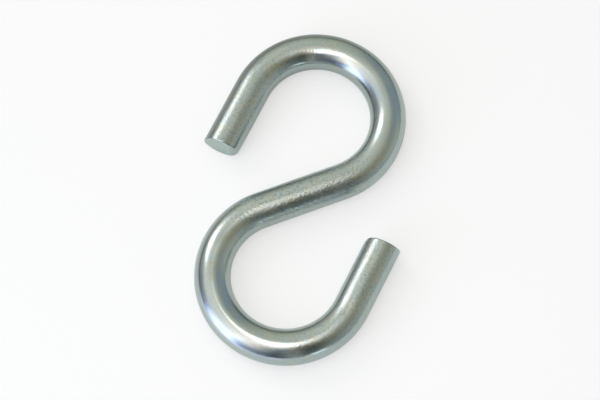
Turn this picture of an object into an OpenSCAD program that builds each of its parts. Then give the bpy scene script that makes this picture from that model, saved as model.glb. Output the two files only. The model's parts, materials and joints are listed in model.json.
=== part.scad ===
// S hook bent cold from one length of round steel rod. Two open eyes face opposite ways,
// a short straight bar joins them, and each eye ends in a straight tip with a cropped face.
// The hook lies flat on Z = 0, with its middle on the Z axis and its eyes in line along Y.

/* [Rod] */
// Diameter of the round rod
rod_d = 6; // [3:0.5:12]

/* [Eyes] */
// Clear diameter inside each eye
eye_d = 18; // [12:1:40]
// Angle that the rod turns through round each eye
eye_turn = 223; // [180:1:235]

/* [Middle bar] */
// Straight length of rod between the two eyes
bar_l = 14.4; // [6:0.2:30]

/* [Tips] */
// Straight length of each tip, measured along its middle
tip_l = 11.8; // [4:0.2:16]

/* [Cropped faces] */
// Lean of the face, which leaves the outer side of the tip longer
crop_lean = 3; // [0:0.5:8]
// Mean width of the broken edge round the face
edge_break = 0.2; // [0.15:0.05:0.4]
// How much wider than the mean the broken edge is on the inner side
edge_bias = 0.1; // [0:0.02:0.12]
// How far the rolled inner corner reaches, across the face and along the side
roll_reach = 1.2; // [0.6:0.1:1.2]
// Radius of the rolled inner corner
roll_r = 1.5; // [1.5:0.1:3]

/* [Hidden] */
$fn = 96;

// The hook is drawn at a hundredth of its size and enlarged last. Its lengths of rod meet
// end to end, and drawn this small the ends agree closely enough to become one solid.
draft = 1 / 100;

// Radius of the rod, and of its centre line round an eye
rod_r = draft * rod_d / 2;
bend_r = draft * eye_d / 2 + rod_r;

// The bar runs from one bend into the other, so its length sets its slope and the eyes' places
bar = draft * bar_l;
bar_angle = atan2(bar / 2, bend_r);
eye_y = norm([bend_r, bar / 2]);

// Which way the rod heads when it has turned round the upper eye
tip = draft * tip_l;
tip_heading = bar_angle + eye_turn;

// Stock that each tip is cropped from, longer than the tip
stock = tip + 2 * rod_r;

// Where the cropped face would meet the tip's inner side if the corner were sharp, half the
// angle between them, and the way that angle's middle line points, into the rod
corner = [tip - rod_r * tan(crop_lean), rod_r];
half_corner = 45 + crop_lean / 2;
into_rod = 180 + half_corner;

// The rolled corner is an arc that crosses the face and the side at this reach. Its centre
// lies on the middle line, and the waste ends where both sides are nearest that centre.
reach = draft * roll_reach;
roll = draft * roll_r;
roll_centre = reach * cos(half_corner) + sqrt(roll ^ 2 - (reach * sin(half_corner)) ^ 2);
waste_depth = roll_centre * cos(half_corner) ^ 2;

// Straight rod that starts at the origin and runs along +X
module straight_rod(length) {
    rotate([0, 90, 0])
        cylinder(r = rod_r, h = length);
}

// The bar between the eyes, with its middle at the origin
module middle_bar() {
    rotate(bar_angle)
        translate([-bar / 2, 0, 0])
            straight_rod(bar);
}

// The bend round the upper eye, from the end of the bar to the start of the tip
module eye_bend() {
    translate([0, eye_y, 0])
        rotate_extrude(start = bar_angle - 90, angle = eye_turn)
            translate([bend_r, 0])
                circle(r = rod_r);
}

// All that lies behind a tip's face: a 45 degree cone that opens away from it
module behind_crop() {
    face_r = rod_r - draft * edge_break;
    translate([tip, 0, 0])
        rotate(crop_lean)
            translate([0, -draft * edge_bias, 0])
                rotate([0, -90, 0])
                    cylinder(r1 = face_r, r2 = face_r + stock, h = stock);
}

// What the shear rolls away from the inner corner: a block with a round bite out of it
module rolled_corner_waste() {
    translate([corner.x, corner.y, -2 * rod_r])
        rotate(into_rod)
            difference() {
                translate([-stock, -stock / 2, 0])
                    cube([stock + waste_depth, stock, 4 * rod_r]);
                translate([roll_centre, 0, -rod_r])
                    cylinder(r = roll, h = 6 * rod_r);
            }
}

// A straight tip that runs along +X, with its eye on the +Y side
module cropped_tip() {
    difference() {
        intersection() {
            straight_rod(stock);
            behind_crop();
        }
        rolled_corner_waste();
    }
}

// The upper eye's tip, in its place at the end of the bend
module upper_tip() {
    translate([0, eye_y, 0])
        rotate(tip_heading)
            translate([0, -bend_r, 0])
                cropped_tip();
}

// The whole hook: half a turn carries the upper eye and its tip to the lower ones
module s_hook() {
    color([0.72, 0.74, 0.72])
        scale(1 / draft)
            translate([0, 0, rod_r]) {
                middle_bar();
                for (half_turn = [0, 180])
                    rotate(half_turn) {
                        eye_bend();
                        upper_tip();
                    }
            }
}

s_hook();
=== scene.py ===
# %% [markdown]
# # A bright zinc plated S hook
# The real hook is one length of round steel rod. A machine crops it, bends it cold round two
# pins into an open S, and a barrel full of hooks is then zinc plated. Nearly all that the eye
# sees is the room, mirrored and stretched by the rod, so the lesson has three parts: the rod's
# true surface, the plate's fine grain, and a studio whose lamps and walls are worth mirroring.
#
# The first step loads the construction model as a fixed frame. Nothing here moves or resizes
# it, and every size below is measured from it.

# %% Load the frame
import json
import math

import bpy
import numpy as np
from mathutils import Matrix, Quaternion, Vector, noise


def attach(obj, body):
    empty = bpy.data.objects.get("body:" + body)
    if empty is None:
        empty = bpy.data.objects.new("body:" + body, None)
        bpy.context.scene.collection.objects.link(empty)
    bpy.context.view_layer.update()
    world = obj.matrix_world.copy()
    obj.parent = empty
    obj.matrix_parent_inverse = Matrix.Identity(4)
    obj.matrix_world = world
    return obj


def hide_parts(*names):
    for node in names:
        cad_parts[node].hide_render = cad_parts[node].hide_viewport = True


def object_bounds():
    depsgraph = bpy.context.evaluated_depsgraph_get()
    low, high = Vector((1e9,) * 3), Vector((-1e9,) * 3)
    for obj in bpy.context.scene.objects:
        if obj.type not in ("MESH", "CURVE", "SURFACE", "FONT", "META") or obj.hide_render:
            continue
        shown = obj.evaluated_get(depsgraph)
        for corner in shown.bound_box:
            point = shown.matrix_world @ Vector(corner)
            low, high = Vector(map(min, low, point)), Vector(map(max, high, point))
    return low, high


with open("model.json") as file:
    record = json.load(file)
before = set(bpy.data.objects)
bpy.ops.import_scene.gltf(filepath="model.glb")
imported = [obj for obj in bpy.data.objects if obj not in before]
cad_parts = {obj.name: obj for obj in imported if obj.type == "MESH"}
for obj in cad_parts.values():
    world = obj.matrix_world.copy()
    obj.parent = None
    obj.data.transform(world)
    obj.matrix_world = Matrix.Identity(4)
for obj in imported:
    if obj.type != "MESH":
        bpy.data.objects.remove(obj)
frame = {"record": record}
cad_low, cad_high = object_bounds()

MM = 0.001
MICRON = 0.000001
print("construction box in mm:", [round(size / MM, 3) for size in cad_high - cad_low])

# %% [markdown]
# ## The sizes that the rod was bent to
# The rod is as thick as the box is high. The tip's axis passes the middle of its eye at the
# radius of the bend, and the bar between the eyes touches both bends, so Pythagoras gives its
# length. Reading sizes from the frame keeps this script right when the construction changes.

# %% Measure the rod
mounts = {mount["name"]: mount for mount in frame["record"]["mounts"]}
eye = Vector(mounts["upper_eye"]["pos_m"])
tip_middle = Vector(mounts["upper_tip"]["pos_m"])
tip_way = Vector(mounts["upper_tip"]["axis"])
tip_l = mounts["upper_tip"]["dims"]["length_mm"] * MM

rod_r = (cad_high.z - cad_low.z) / 2
bend_r = (tip_middle - eye).cross(tip_way).length
half_bar = math.sqrt(eye.y**2 - bend_r**2)
bar_angle = math.atan2(half_bar, bend_r)
eye_turn = math.atan2(tip_way.y, tip_way.x) % math.tau - bar_angle
bend_l = bend_r * eye_turn
half_l = half_bar + bend_l + tip_l
print(f"rod {2 * rod_r / MM:.2f} mm thick and {2 * half_l / MM:.1f} mm long, "
      f"bent {math.degrees(eye_turn):.0f} degrees at {bend_r / MM:.2f} mm")

# %% [markdown]
# ## The camera
# A long lens, high above the hook and a little to its right, so that both eyes read as round
# and the cropped face of one tip just shows. A curve or a mesh can be judged only through the
# camera that it will be seen by, so the camera comes first.

# %% Set up the camera
LENS_TURN = math.radians(10.53)
LENS_RISE = math.radians(71.8)
LENS_AWAY = 0.3252
LENS_LENGTH = 117.78
LENS_AIM = Vector((-0.00009, -0.00073, rod_r))

camera = bpy.data.objects.new("camera", bpy.data.cameras.new("camera"))
camera.data.lens = LENS_LENGTH
camera.data.clip_start = 0.01
back = Vector((math.sin(LENS_TURN) * math.cos(LENS_RISE),
               -math.cos(LENS_TURN) * math.cos(LENS_RISE),
               math.sin(LENS_RISE)))
camera.location = LENS_AIM + LENS_AWAY * back
camera.rotation_euler = (-back).to_track_quat("-Z", "Y").to_euler()
bpy.context.collection.objects.link(camera)
bpy.context.scene.camera = camera
bpy.context.scene.view_settings.view_transform = "Standard"
print("camera height in mm:", round(camera.location.z / MM))

# %% [markdown]
# ## The straight rod
# The rod could be a curve with a round bevel, but a curve has no good way to shape its ends.
# It is made here as the works make it: a straight rod first, with its ends and marks, and the
# bending comes last. Each point of the straight rod has three coordinates: how far along it
# is from the middle, how far to the side, and how far up from the rod's axis.
#
# The two ends are cropped by a shear. The blade enters from the side of the eye, rolls that
# corner over, and leaves the face leaning by a few degrees. A smooth maximum of the distances
# to the side, the face and the rolled corner gives one signed distance for the whole end.

# %% Describe the cropped end
CROP_LEAN = math.radians(3)
ROLL_R = 1.2 * MM
ROLL_REACH = 0.7 * MM
SHARP_EDGE = 0.10 * MM
SOFT_EDGE = 0.30 * MM

half_corner = math.pi / 4 + CROP_LEAN / 2
roll_in = ROLL_REACH * math.cos(half_corner) + math.sqrt(
    ROLL_R**2 - (ROLL_REACH * math.sin(half_corner))**2)
roll_depth = roll_in * math.cos(half_corner)**2
corner_along = half_l - rod_r * math.tan(CROP_LEAN)


def smooth_max(one, other, blend):
    """The greater of two distances, rounded off where they are nearly equal."""
    overlap = np.maximum(blend - np.abs(one - other), 0) / blend
    return np.maximum(one, other) + blend * overlap**2 / 4


def face_distance(along, side):
    """How far ahead of the cropped face a point is."""
    return (along - half_l) * math.cos(CROP_LEAN) + side * math.sin(CROP_LEAN)


def end_distance(along, side, up):
    """How far outside the cropped end a point is. The eye is where side is positive."""
    barrel = np.hypot(side, up) - rod_r
    face = face_distance(along, side)
    depth = ((corner_along - along) * math.cos(half_corner)
             + (rod_r - side) * math.sin(half_corner))
    across = ((corner_along - along) * math.sin(half_corner)
              - (rod_r - side) * math.cos(half_corner))
    roll = np.hypot(depth - roll_in, across) - ROLL_R
    corner = np.minimum(roll, roll_depth - depth)
    inner = (1 + side / rod_r) / 2
    edge = SHARP_EDGE + (SOFT_EDGE - SHARP_EDGE) * np.clip(inner, 0, 1)
    return smooth_max(smooth_max(barrel, face, edge), corner, SOFT_EDGE)


print(f"the rolled corner is {(roll_in - ROLL_R) / MM:.2f} mm deep")

# %% [markdown]
# ## Rings of points
# The barrel is a stack of equal rings. Each end is closed by rings that swing from straight
# out to straight ahead, seen from a point on the axis one radius behind the face, and each of
# their points is pushed out until it meets the end's surface. The rings crowd together near
# the rim, where the surface turns fastest. Halving the gap again and again finds the surface
# for all the points at once, which suits arrays.

# %% Lay out the rings
AROUND = 96
BARREL_RINGS = 800
RIM_RINGS = 44
FLANK_RINGS = 9
FACE_RINGS = 16
RIM_STARTS = 62
RIM_ENDS = 36
HALVINGS = 40

turn = np.linspace(0, math.tau, AROUND, endpoint=False) - math.pi / 2
out_side, out_up = np.cos(turn), np.sin(turn)
cap_middle = half_l - rod_r


def swing_angles():
    """Angles from the axis for the rings of an end, dense at the rim and without the pole."""
    flank = np.linspace(90, RIM_STARTS, FLANK_RINGS, endpoint=False)
    rim = np.linspace(RIM_STARTS, RIM_ENDS, RIM_RINGS, endpoint=False)
    face = np.linspace(RIM_ENDS, 0, FACE_RINGS, endpoint=False)
    return np.radians(np.concatenate([flank, rim, face])[1:])


def end_rings():
    """Points and outward directions for the upper tip's end, ring by ring."""
    swing = swing_angles()[:, None]
    outward = np.stack(np.broadcast_arrays(np.cos(swing), np.sin(swing) * out_side,
                                           np.sin(swing) * out_up), -1)
    near = np.zeros(outward.shape[:2])
    far = np.full(outward.shape[:2], 2 * rod_r)
    for _ in range(HALVINGS):
        reach = (near + far) / 2
        outside = end_distance(cap_middle + reach * outward[..., 0],
                               reach * outward[..., 1], reach * outward[..., 2]) > 0
        far = np.where(outside, reach, far)
        near = np.where(outside, near, reach)
    points = reach[..., None] * outward
    points[..., 0] += cap_middle
    return points, outward


barrel_along = np.linspace(-cap_middle, cap_middle, BARREL_RINGS)[:, None]
barrel = np.stack(np.broadcast_arrays(barrel_along, rod_r * out_side, rod_r * out_up), -1)
barrel_out = np.stack(np.broadcast_arrays(0 * barrel_along, out_side, out_up), -1)

HALF_TURN = np.array([-1, -1, 1])
end, end_out = end_rings()
mirrored = -np.arange(AROUND) % AROUND
other_end = end[::-1, mirrored] * HALF_TURN
other_out = end_out[::-1, mirrored] * HALF_TURN

rod = np.concatenate([other_end, barrel, end])
outward = np.concatenate([other_out, barrel_out, end_out])
print("rings:", len(rod), "points:", rod.shape[0] * rod.shape[1])

# %% [markdown]
# ## Marks on the straight rod
# Drawing leaves the rod very slightly wavy, and the plate grows with an orange peel. Both are
# a few thousandths of a millimetre high, far too little to see as shape, but a mirror doubles
# every slope, so they are what makes the lamps' edges wander. Noise that is stretched along
# the rod gives the waves, and shorter noise the peel. The hooks also knock together in the
# barrel, so a few shallow nicks are listed and cut one by one. The shear drags a little metal
# outwards at the outer corner of each face, and that burr is raised here too.

# %% Shape the marks
WAVE = (8 * MICRON, 7.0 * MM, 2.0 * MM)
PEEL = (1.2 * MICRON, 0.95 * MM, 0.75 * MM)
PEEL_SHIFT = 0.5
COARSE_ALONG = [8 * MM, 15 * MM, 32 * MM, 40 * MM, 54 * MM, 60 * MM]
COARSE_LEVEL = [1.0, 0.2, 0.15, 0.4, 0.65, 0.7]
BURR_H = 0.09 * MM
BURR_L = 0.45 * MM
NICKS = [
    # along the rod and round it in degrees, then width and depth
    (24.7 * MM, 44, 0.26 * MM, 20 * MICRON),
    (-37.4 * MM, 57, 0.22 * MM, 12 * MICRON),
    (-40.6 * MM, 63, 0.24 * MM, 14 * MICRON),
    (-44.8 * MM, 66, 0.30 * MM, 12 * MICRON),
    (-22.5 * MM, 58, 0.28 * MM, 12 * MICRON),
    (-8.1 * MM, 118, 0.30 * MM, 12 * MICRON),
    (3.2 * MM, 121, 0.26 * MM, 14 * MICRON),
    (37.6 * MM, 84, 0.24 * MM, 14 * MICRON),
    (50.3 * MM, 96, 0.24 * MM, 12 * MICRON),
    (-52.4 * MM, 92, 0.26 * MM, 12 * MICRON),
    (14.6 * MM, 215, 0.32 * MM, 16 * MICRON),
    (-14.1 * MM, -35, 0.30 * MM, 16 * MICRON),
]


def rod_noise(points, along_size, across_size):
    """Smooth noise from -1 to 1 on the straight rod, with features of these sizes."""
    scaled = points / (along_size, across_size, across_size)
    values = [noise.noise(point) for point in scaled.reshape(-1, 3).tolist()]
    return np.array(values).reshape(points.shape[:-1])


def nick_depth(points, along, degrees, width, depth):
    """The depth of one nick at each point."""
    angle = math.radians(degrees)
    middle = np.array([along, rod_r * math.cos(angle), rod_r * math.sin(angle)])
    away = np.linalg.norm(points - middle, axis=-1)
    return depth * np.exp(-(2 * away / width)**2)


def burr_height(points):
    """The burr at the outer corner of both faces. High powers keep it at the corner."""
    half = np.where(points[..., 0] < 0, -1, 1)
    side = half * points[..., 1]
    behind = -face_distance(half * points[..., 0], side)
    near_rim = np.clip(1 - behind / BURR_L, 0, 1)**2
    outer = np.clip(-side / rod_r, 0, 1)**6
    at_side = np.clip(np.hypot(points[..., 1], points[..., 2]) / rod_r, 0, 1)**8
    return BURR_H * near_rim * outer * at_side


def relief(points):
    """How far each point of the straight rod stands out."""
    wave_h, wave_l, wave_w = WAVE
    peel_h, peel_l, peel_w = PEEL
    height = wave_h * rod_noise(points, wave_l, wave_w)
    height += peel_h * rod_noise(points + PEEL_SHIFT, peel_l, peel_w)
    for nick in NICKS:
        height -= nick_depth(points, *nick)
    return height + burr_height(points)


def how_coarse(points):
    """How rough the work left the surface, from 0 to 1. The bending pins smooth the eyes."""
    along = np.abs(points[..., 0])
    return np.interp(along, COARSE_ALONG, COARSE_LEVEL)


height = relief(rod)
print(f"relief from {height.min() / MICRON:.0f} to {height.max() / MICRON:.0f} thousandths of a mm")

# %% [markdown]
# ## Bend it and make the mesh
# Bending keeps the middle of the rod at its length and turns everything that stands to its
# side about the eye. One formula covers the bar, the bend and the tip, because each simply
# stops growing where the next begins. The second half is the first turned by half a turn.
# The mesh keeps each point's place on the straight rod, so that grain can follow the rod.

# %% Bend the rod


def bend(points):
    """Where the points of the straight rod are on the hook."""
    along, side, up = points[..., 0], points[..., 1], points[..., 2]
    far = np.abs(along)
    heading = bar_angle + np.clip((far - half_bar) / bend_r, 0, eye_turn)
    on_bar = np.minimum(far, half_bar)
    on_tip = np.maximum(far - half_bar - bend_l, 0)
    x = (on_bar * math.cos(bar_angle) + on_tip * np.cos(heading)
         + bend_r * (np.sin(heading) - math.sin(bar_angle)))
    y = (on_bar * math.sin(bar_angle) + on_tip * np.sin(heading)
         + bend_r * (math.cos(bar_angle) - np.cos(heading)))
    half = np.where(along < 0, -1, 1)
    return np.stack([half * x - side * np.sin(heading), half * y + side * np.cos(heading),
                     up + rod_r], -1)


poles = np.array([[-half_l, 0, 0], [half_l, 0, 0]])
straight = np.concatenate([rod.reshape(-1, 3), poles])
raised = np.concatenate([(rod + height[..., None] * outward).reshape(-1, 3), poles])
places = bend(raised)
print("bent hook in mm:", np.round((places.max(0) - places.min(0)) / MM, 3).tolist())

# %% Join the points into a mesh
first_pole, last_pole = len(straight) - 2, len(straight) - 1
last_ring = (len(rod) - 1) * AROUND
faces = []
for ring in range(len(rod) - 1):
    start = ring * AROUND
    for step in range(AROUND):
        after = (step + 1) % AROUND
        faces.append((start + step, start + after,
                      start + after + AROUND, start + step + AROUND))
for step in range(AROUND):
    after = (step + 1) % AROUND
    faces.append((after, step, first_pole))
    faces.append((last_ring + step, last_ring + after, last_pole))

mesh = bpy.data.meshes.new("plated_hook")
mesh.from_pydata(places.tolist(), [], faces)
mesh.shade_smooth()
rod_place = mesh.attributes.new("rod_place", "FLOAT_VECTOR", "POINT")
rod_place.data.foreach_set("vector", straight.astype(np.float32).ravel())
coarseness = mesh.attributes.new("coarseness", "FLOAT", "POINT")
coarseness.data.foreach_set("value", how_coarse(straight).astype(np.float32))
hook = bpy.data.objects.new("plated_hook", mesh)
bpy.context.collection.objects.link(hook)
print("mesh problems mended:", mesh.validate(), "triangles:", len(mesh.loop_triangles))

# %% [markdown]
# ## Tools for materials
# Node trees are easier to read when one line makes one node, with its values and its links
# side by side. The first helper takes a value or another node's socket for each input.

# %% Helpers that place nodes


def place(tree, kind, label, inputs=None, **settings):
    """Adds a node, sets it up and returns it. An input is a value or a socket to link."""
    made = tree.nodes.new("ShaderNode" + kind)
    made.label = label
    for name, value in settings.items():
        setattr(made, name, value)
    for name, value in (inputs or {}).items():
        if isinstance(value, bpy.types.NodeSocket):
            tree.links.new(value, made.inputs[name])
        else:
            made.inputs[name].default_value = value
    return made


def grey(red, green=None, blue=None):
    """A colour with its alpha, from one level or from three."""
    return (red, red if green is None else green, red if blue is None else blue, 1)


def mix(tree, label, factor, one, other, **settings):
    """Mixes two colours. The node's sockets share their names, so they go by number."""
    mixed = place(tree, "Mix", label, {"Factor": factor, 6: one, 7: other},
                  data_type="RGBA", **settings)
    return mixed.outputs[2]


# %% [markdown]
# ## Zinc plate as a node group
# Plated zinc is a mirror with three faults. Its clear film is a little thicker in some places
# than in others, which tints it cool or warm. It is brighter where the hooks rubbed in the
# barrel and duller in between. And its crystals give it a grain that scatters each highlight
# into sparkles. Where the work left the steel coarse, at the bar and the tips, the grain is
# deeper and rougher, and a painted shade darkens the colour in its low spots. The barrel of
# the rod and the cropped faces both need all this, so it is one group, and each material
# places it with values of its own.

# %% Build the zinc plate group
FILM_PATCH = 1.1 * MM
RUBBED_PATCH = 2.6 * MM
COARSE_ROUGHNESS = 0.07
PIT_SHADE_BLACK = grey(0.02)

plate = bpy.data.node_groups.new("zinc plate", "ShaderNodeTree")
for name, kind in [("Place", "Vector"), ("Grain Size", "Float"), ("Coarseness", "Float"),
                   ("Bright Zinc", "Color"), ("Cool Film", "Color"), ("Warm Film", "Color"),
                   ("Polished", "Float"), ("Dull", "Float"), ("Painted Pit Shade", "Float")]:
    plate.interface.new_socket(name, in_out="INPUT", socket_type="NodeSocket" + kind)
for name, kind in [("Colour", "Color"), ("Roughness", "Float"), ("Height", "Float")]:
    plate.interface.new_socket(name, in_out="OUTPUT", socket_type="NodeSocket" + kind)
given = plate.nodes.new("NodeGroupInput").outputs
result = plate.nodes.new("NodeGroupOutput").inputs

film = place(plate, "TexNoise", "film thickness",
             {"Vector": given["Place"], "Scale": 1 / FILM_PATCH, "Detail": 2.0})
warmth = place(plate, "MapRange", "film warmth",
               {"Value": film.outputs["Fac"], "From Min": 0.38, "From Max": 0.62},
               interpolation_type="SMOOTHSTEP")
tint = mix(plate, "cool or warm film", warmth.outputs["Result"],
           given["Cool Film"], given["Warm Film"])
tinted = mix(plate, "film over zinc", 1.0, given["Bright Zinc"], tint, blend_type="MULTIPLY")

rub = place(plate, "TexNoise", "rubbed and dull patches",
            {"Vector": given["Place"], "Scale": 1 / RUBBED_PATCH, "Detail": 1.0})
dullness = place(plate, "MapRange", "dullness",
                 {"Value": rub.outputs["Fac"], "From Min": 0.35, "From Max": 0.65},
                 interpolation_type="SMOOTHSTEP")
finish = place(plate, "Mix", "polished to dull",
               {"Factor": dullness.outputs["Result"], 2: given["Polished"], 3: given["Dull"]},
               data_type="FLOAT")
roughness = place(plate, "Math", "rougher where it is coarse",
                  {0: given["Coarseness"], 1: COARSE_ROUGHNESS, 2: finish.outputs[0]},
                  operation="MULTIPLY_ADD")

fineness = place(plate, "Math", "grains per metre", {0: 1.0, 1: given["Grain Size"]},
                 operation="DIVIDE")
grain = place(plate, "TexNoise", "orange peel",
              {"Vector": given["Place"], "Scale": fineness.outputs[0], "Detail": 3.0,
               "Roughness": 0.6, "Distortion": 0.25})
strength = place(plate, "Math", "deeper where it is coarse",
                 {0: grain.outputs["Fac"], 1: given["Coarseness"]}, operation="MULTIPLY")
# Painted shade: the colour darkens towards black in the grain's low spots, more where the work left
# the steel coarse.
low = place(plate, "MapRange", "low spots",
            {"Value": grain.outputs["Fac"], "From Min": 0.52, "From Max": 0.36},
            interpolation_type="SMOOTHSTEP")
pitted = place(plate, "Math", "painted shade in the low spots where it is coarse",
               {0: low.outputs["Result"], 1: given["Coarseness"]}, operation="MULTIPLY")
shade = place(plate, "Math", "how dark the painted shade is",
              {0: pitted.outputs[0], 1: given["Painted Pit Shade"]}, operation="MULTIPLY")
pit_shade = mix(plate, "plate with painted shade in its low spots", shade.outputs[0], tinted, PIT_SHADE_BLACK)

plate.links.new(pit_shade, result["Colour"])
plate.links.new(roughness.outputs[0], result["Roughness"])
plate.links.new(strength.outputs[0], result["Height"])
print("zinc plate group:", len(plate.nodes), "nodes")

# %% [markdown]
# ## The two plated finishes
# The barrel was drawn through a die, so its grain is drawn out along the rod. The cropped
# face is torn steel under the same plate: paler, rougher and streaked along the way that the
# blade went. A Bump node takes the height in metres, so that the grain has its real depth.

# %% Make the materials
BRIGHT_ZINC = grey(0.50, 0.535, 0.53)
PALE_ZINC = grey(0.60, 0.67, 0.65)
FACE_DEPTH = 0.02 * MM


def plated(name, zinc, stretch, grain_size, grain_depth, polished, dull, painted_pit_shade):
    """A plated finish whose grain is stretched along the straight rod's three axes."""
    made = bpy.data.materials.new(name)
    made.use_nodes = True
    tree = made.node_tree
    surface = tree.nodes["Principled BSDF"]
    on_rod = place(tree, "Attribute", "place on the straight rod", attribute_name="rod_place")
    stretched = place(tree, "VectorMath", "grain stretched along the work",
                      {0: on_rod.outputs["Vector"], 1: stretch}, operation="DIVIDE")
    zinc_plate = place(tree, "Group", "zinc plate", node_tree=plate)
    for socket, value in {"Grain Size": grain_size, "Bright Zinc": zinc,
                          "Cool Film": grey(0.93, 0.98, 1.0), "Warm Film": grey(1.0, 0.99, 0.93),
                          "Polished": polished, "Dull": dull, "Painted Pit Shade": painted_pit_shade}.items():
        zinc_plate.inputs[socket].default_value = value
    coarse = place(tree, "Attribute", "how coarse the work left it",
                   attribute_name="coarseness")
    tree.links.new(stretched.outputs["Vector"], zinc_plate.inputs["Place"])
    tree.links.new(coarse.outputs["Fac"], zinc_plate.inputs["Coarseness"])
    bump = place(tree, "Bump", "grain", {"Strength": 1.0, "Distance": grain_depth,
                                         "Height": zinc_plate.outputs["Height"]})
    surface.inputs["Metallic"].default_value = 1.0
    tree.links.new(zinc_plate.outputs["Colour"], surface.inputs["Base Color"])
    tree.links.new(zinc_plate.outputs["Roughness"], surface.inputs["Roughness"])
    tree.links.new(bump.outputs["Normal"], surface.inputs["Normal"])
    return made


drawn_finish = plated("plated drawn rod", BRIGHT_ZINC, stretch=(1.3, 1, 1),
                      grain_size=0.30 * MM, grain_depth=42 * MICRON,
                      polished=0.12, dull=0.22, painted_pit_shade=0.24)
crop_finish = plated("plated cropped face", PALE_ZINC, stretch=(1, 2.5, 1),
                     grain_size=0.30 * MM, grain_depth=30 * MICRON,
                     polished=0.32, dull=0.42, painted_pit_shade=0.1)
mesh.materials.append(drawn_finish)
mesh.materials.append(crop_finish)

on_face = face_distance(np.abs(straight[:, 0]),
                        np.sign(straight[:, 0]) * straight[:, 1]) > -FACE_DEPTH
for polygon in mesh.polygons:
    polygon.material_index = int(on_face[list(polygon.vertices)].all())
print("faces on the cropped ends:", sum(p.material_index for p in mesh.polygons))

# %% [markdown]
# ## The table
# A plain matt pale sheet, wide enough to reach the horizon in the metal. It takes the hook's
# shadow. The metal mirrors this paper all along its lower side, and evenly bright paper would
# leave that side flat. So the mirrored paper turns darker ahead and to the left of the hook,
# as if something shaded it there, while the paper that is seen directly stays even.
#
# Brighter lamps could bring the sheet up to white, but they would light the hook too. It has a
# little light of its own instead, only for rays from the camera or from a mirror. On the side
# of the window that light also paints the window's shine, which only the mirror sees. The
# renderer is told not to use the sheet as a lamp, since its light goes nowhere else.

# %% Lay the table
TABLE_R = 1.6
TABLE_SIDES = 128
rim = [(TABLE_R * math.cos(math.tau * side / TABLE_SIDES),
        TABLE_R * math.sin(math.tau * side / TABLE_SIDES), 0) for side in range(TABLE_SIDES)]
sheet = bpy.data.meshes.new("table")
sheet.from_pydata(rim, [], [list(range(TABLE_SIDES))])
table = bpy.data.objects.new("table", sheet)
bpy.context.collection.objects.link(table)

NEAR_PAPER = grey(0.83, 0.87, 0.87)
FAR_PAPER = grey(0.31, 0.33, 0.30)
SEEN_PAPER = grey(0.46)
NEAR_GLOW = grey(0.10, 0.11, 0.10)
WINDOW_GLOW = grey(0.46, 0.46, 0.72)
SEEN_GLOW = grey(0.56)
TO_SHADE = (-0.71, 0.70, 0)
SHADE_STARTS = -1 * MM
SHADE_ENDS = 54 * MM
TO_WINDOW = (-0.69, -0.73, 0)
SHINE_STARTS = 28 * MM
SHINE_ENDS = 60 * MM

matt = bpy.data.materials.new("matt pale sheet")
matt.use_nodes = True
tree = matt.node_tree
paper = tree.nodes["Principled BSDF"]
path = place(tree, "LightPath", "which ray looks")
spot = place(tree, "NewGeometry", "place on the table")
beyond = place(tree, "VectorMath", "how far into the shade",
               {0: spot.outputs["Position"], 1: TO_SHADE}, operation="DOT_PRODUCT")
shaded = place(tree, "MapRange", "shaded far side",
               {"Value": beyond.outputs["Value"], "From Min": SHADE_STARTS,
                "From Max": SHADE_ENDS},
               interpolation_type="SMOOTHSTEP")
mirrored = mix(tree, "near to far paper", shaded.outputs["Result"], NEAR_PAPER, FAR_PAPER)
seen = mix(tree, "in the mirror or seen directly", path.outputs["Is Camera Ray"],
           mirrored, SEEN_PAPER)
# Painted shine: towards the window, the glow that only the mirror sees turns brighter and bluish.
beside = place(tree, "VectorMath", "how far towards the window",
               {0: spot.outputs["Position"], 1: TO_WINDOW}, operation="DOT_PRODUCT")
shine = place(tree, "MapRange", "painted shine of the window",
              {"Value": beside.outputs["Value"], "From Min": SHINE_STARTS,
               "From Max": SHINE_ENDS},
              interpolation_type="SMOOTHSTEP")
near_glow = mix(tree, "near glow to window shine", shine.outputs["Result"],
                NEAR_GLOW, WINDOW_GLOW)
mirrored_glow = mix(tree, "near to far glow", shaded.outputs["Result"], near_glow, grey(0))
glow = mix(tree, "glow in the mirror or seen directly", path.outputs["Is Camera Ray"],
           mirrored_glow, SEEN_GLOW)
looked_at = place(tree, "Math", "only for what looks at it",
                  {0: path.outputs["Is Camera Ray"], 1: path.outputs["Is Glossy Ray"]},
                  operation="ADD")
tree.links.new(seen, paper.inputs["Base Color"])
tree.links.new(glow, paper.inputs["Emission Color"])
tree.links.new(looked_at.outputs[0], paper.inputs["Emission Strength"])
paper.inputs["Roughness"].default_value = 0.5
paper.inputs["Specular IOR Level"].default_value = 0.3
matt.cycles.emission_sampling = "NONE"
sheet.materials.append(matt)
print("table", 2 * TABLE_R, "m across")

# %% [markdown]
# ## Lamps
# Four soft lamps. A large one stands a metre off, beyond the hook at the left, and a narrow one
# hangs close and nearly overhead. On the camera's side of the hook, a cool one stands low at
# the left like a window, and a strip stands low at the right. Point lights would be simpler,
# but a mirror shows the shape of what lights it. So each is a rectangle whose light fades from
# the middle of its face to nothing at the edge, as a softbox does. The overhead one is spun,
# which turns its highlight on the bends.
#
# Each is placed by two angles: how far it is turned clockwise from the way that the camera
# looks, and how far it is tilted down from overhead. Its brightness is that of the middle of
# its face, where 1 is paper white.

# %% Hang the lamps
BRIGHT_CORE = 0.35
FACE_POWER = 4  # watts for each square metre of a lamp's face at a brightness of 1


def toward(turned, tilted):
    """The direction at these two angles, in degrees."""
    turned, tilted = math.radians(turned) - LENS_TURN, math.radians(tilted)
    return Vector((math.sin(tilted) * math.sin(turned), math.sin(tilted) * math.cos(turned),
                   math.cos(tilted)))


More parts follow.
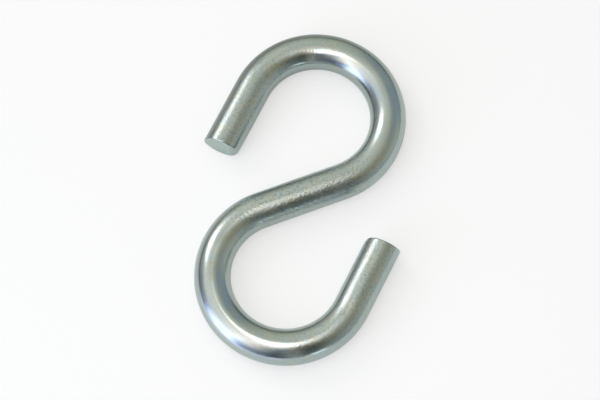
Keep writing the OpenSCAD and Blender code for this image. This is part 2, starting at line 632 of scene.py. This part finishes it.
def soften(tree, middle, edge):
    """Fades a lamp's face from its middle colour through its edge colour to nothing."""
    face = place(tree, "NewGeometry", "place on the lamp's face")
    centred = place(tree, "VectorMath", "from its middle, 1 at the edges",
                    {0: face.outputs["Parametric"], 1: (2, 2, 0), 2: (-1, -1, 0)},
                    operation="MULTIPLY_ADD")
    away = place(tree, "VectorMath", "distance from the middle",
                 {0: centred.outputs["Vector"]}, operation="LENGTH")
    fade = place(tree, "MapRange", "fade",
                 {"Value": away.outputs["Value"], "From Min": 1.0, "From Max": BRIGHT_CORE},
                 interpolation_type="SMOOTHSTEP")
    colour = mix(tree, "edge to middle", fade.outputs["Result"], grey(*edge), grey(*middle))
    glow = tree.nodes["Emission"]
    tree.links.new(colour, glow.inputs["Color"])
    tree.links.new(fade.outputs["Result"], glow.inputs["Strength"])


def hang_lamp(name, turned, tilted, away, spin, width, height, brightness, middle, edge):
    """A soft lamp that faces the hook, spun clockwise as seen from behind the lamp."""
    lamp = bpy.data.objects.new(name, bpy.data.lights.new(name, "AREA"))
    lamp.data.shape = "RECTANGLE"
    lamp.data.size, lamp.data.size_y = width, height
    lamp.data.energy = FACE_POWER * brightness * width * height
    lamp.data.use_nodes = True
    soften(lamp.data.node_tree, middle, edge)
    lamp.location = LENS_AIM + away * toward(turned, tilted)
    upright = toward(turned, tilted).to_track_quat("Z", "Y")
    lamp.rotation_euler = (upright @ Quaternion((0, 0, 1), -math.radians(spin))).to_euler()
    bpy.context.collection.objects.link(lamp)
    return lamp


WARM_WHITE = (1.0, 0.96, 0.92)
COOL_EDGE = (0.9, 0.9, 1.0)
SKY = (0.82, 0.91, 1.15)
DEEP_SKY = (0.4, 0.55, 1.0)
COOL_WHITE = (0.85, 0.97, 1.0)
hang_lamp("far left lamp", turned=-50, tilted=54, away=1.0, spin=0,
          width=0.50, height=0.76, brightness=1.75, middle=WARM_WHITE, edge=COOL_EDGE)
hang_lamp("lamp above the hook", turned=-150, tilted=9.4, away=0.21, spin=-40,
          width=0.078, height=0.165, brightness=2.2, middle=WARM_WHITE, edge=WARM_WHITE)
hang_lamp("window lamp", turned=-122, tilted=81, away=0.19, spin=0,
          width=0.17, height=0.29, brightness=1.2, middle=SKY, edge=DEEP_SKY)
hang_lamp("low strip", turned=153, tilted=86.0, away=0.50, spin=0,
          width=0.20, height=0.08, brightness=2.4, middle=COOL_WHITE, edge=COOL_WHITE)

# %% [markdown]
# ## The room
# What a bright metal mirrors decides its look more than its own colour does. The room is
# light on the left, olive and blue-grey on the right, and behind the camera a narrow light
# strip stands between dark patches. It could be built of walls, but a mirror this curved shows
# only broad fields of colour, and ramps are easier to change.
#
# Three colour ramps run once round the room: one for the walls, one for the high walls and one
# for what is overhead. Each fades into the next, and the last into a glow round the overhead
# lamp. A fourth ramp darkens the foot of the walls.

# %% Paint the room
WALLS = [  # clockwise from straight behind the camera, in degrees, and the colour there
    (0, (0.19, 0.21, 0.24)), (10, (0.11, 0.14, 0.19)), (20, (0.15, 0.19, 0.26)),
    (33, (0.36, 0.43, 0.60)), (52, (0.80, 0.88, 1.10)), (78, (0.63, 0.71, 0.97)),
    (86, (0.36, 0.39, 0.48)), (100, (0.37, 0.38, 0.40)), (117, (0.54, 0.54, 0.55)),
    (150, (0.62, 0.64, 0.58)), (190, (0.60, 0.63, 0.51)), (210, (0.34, 0.40, 0.40)),
    (238, (0.34, 0.42, 0.48)), (270, (0.53, 0.56, 0.51)), (300, (0.44, 0.48, 0.47)),
    (322, (0.24, 0.28, 0.29)), (339, (0.11, 0.14, 0.15)), (345, (0.16, 0.18, 0.18)),
    (353, (0.50, 0.52, 0.46))]
HIGH = [
    (0, (0.24, 0.26, 0.28)), (10, (0.18, 0.20, 0.24)), (20, (0.36, 0.38, 0.42)),
    (33, (1.30, 1.27, 1.28)), (46, (2.20, 2.08, 2.05)), (64, (1.50, 1.48, 1.50)),
    (82, (1.00, 1.06, 1.12)), (120, (0.94, 0.98, 0.94)), (155, (0.86, 0.90, 0.83)),
    (190, (0.66, 0.70, 0.60)), (210, (0.38, 0.44, 0.46)), (238, (0.34, 0.41, 0.46)),
    (268, (0.42, 0.43, 0.35)), (300, (0.39, 0.38, 0.28)), (320, (0.18, 0.19, 0.15)),
    (338, (0.08, 0.09, 0.08)), (345, (0.14, 0.15, 0.13)), (353, (0.46, 0.46, 0.40))]
OVERHEAD = [
    (0, (0.50, 0.46, 0.42)), (18, (1.20, 1.10, 1.05)), (46, (1.90, 1.75, 1.70)),
    (72, (1.50, 1.43, 1.38)), (95, (1.20, 1.19, 1.13)), (120, (0.92, 0.95, 0.89)),
    (150, (0.76, 0.78, 0.70)), (180, (0.73, 0.75, 0.67)), (210, (0.62, 0.64, 0.55)),
    (240, (0.55, 0.56, 0.46)), (300, (0.49, 0.48, 0.38)), (335, (0.30, 0.28, 0.23))]
FOOT = [
    (0, (0.85, 0.85, 0.85)), (60, (1.0, 1.0, 1.0)), (85, (0.65, 0.62, 0.70)),
    (120, (0.46, 0.42, 0.48)), (160, (0.55, 0.55, 0.55)), (190, (0.35, 0.35, 0.35)),
    (215, (0.40, 0.40, 0.40)), (240, (0.75, 0.75, 0.75)), (270, (1.0, 1.0, 1.0))]

world = bpy.data.worlds.new("room")
world.use_nodes = True
bpy.context.scene.world = world
tree = world.node_tree
direction = place(tree, "TexCoord", "direction")
facing = place(tree, "VectorRotate", "turned to the camera's heading",
               {"Vector": direction.outputs["Generated"], "Angle": -LENS_TURN},
               rotation_type="Z_AXIS")
parts = place(tree, "SeparateXYZ", "right, ahead, up", {"Vector": facing.outputs["Vector"]})
bearing = place(tree, "Math", "bearing", {0: parts.outputs["X"], 1: parts.outputs["Y"]},
                operation="ARCTAN2")
round_room = place(tree, "MapRange", "once round the room",
                   {"Value": bearing.outputs[0], "From Min": -math.pi, "From Max": math.pi})


def paint_ramp(label, stops):
    """A ramp round the room, which ends in the colour that it starts with."""
    ramp = place(tree, "ValToRGB", label, {"Fac": round_room.outputs["Result"]})
    ramp.color_ramp.interpolation = "EASE"
    ends = ramp.color_ramp.elements
    ends[0].color = ends[1].color = grey(*stops[0][1])
    for degrees, colour in stops[1:]:
        ends.new(degrees / 360).color = grey(*colour)
    return ramp.outputs["Color"]


def rise(label, low_tilt, high_tilt):
    """Goes from 0 at the low tilt to 1 at the high one, measured from overhead."""
    return place(tree, "MapRange", label,
                 {"Value": parts.outputs["Z"], "From Min": math.cos(math.radians(low_tilt)),
                  "From Max": math.cos(math.radians(high_tilt))},
                 interpolation_type="SMOOTHSTEP").outputs["Result"]


LAMP_GLOW = grey(0.95, 0.94, 0.87)
upper_room = mix(tree, "walls to high walls", rise("above the walls", 70, 46),
                 paint_ramp("walls", WALLS), paint_ramp("high walls", HIGH))
whole_room = mix(tree, "high walls to overhead", rise("overhead", 34, 20),
                 upper_room, paint_ramp("overhead", OVERHEAD))
ceiling = mix(tree, "overhead to the glow round the lamp", rise("glow round the lamp", 18, 6),
              whole_room, LAMP_GLOW)
dark_foot = mix(tree, "darker foot of the walls", rise("clear of the foot", 89, 74),
                paint_ramp("foot", FOOT), grey(1))
shaded_room = mix(tree, "room with its dark foot", 1.0, ceiling, dark_foot,
                  blend_type="MULTIPLY")
tree.links.new(shaded_room, tree.nodes["Background"].inputs["Color"])
print("room:", sum(len(ramp) for ramp in (WALLS, HIGH, OVERHEAD, FOOT)), "painted places")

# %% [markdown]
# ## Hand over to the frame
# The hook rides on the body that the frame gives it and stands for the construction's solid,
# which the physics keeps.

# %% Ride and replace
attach(hook, "root")
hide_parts("s_hook")
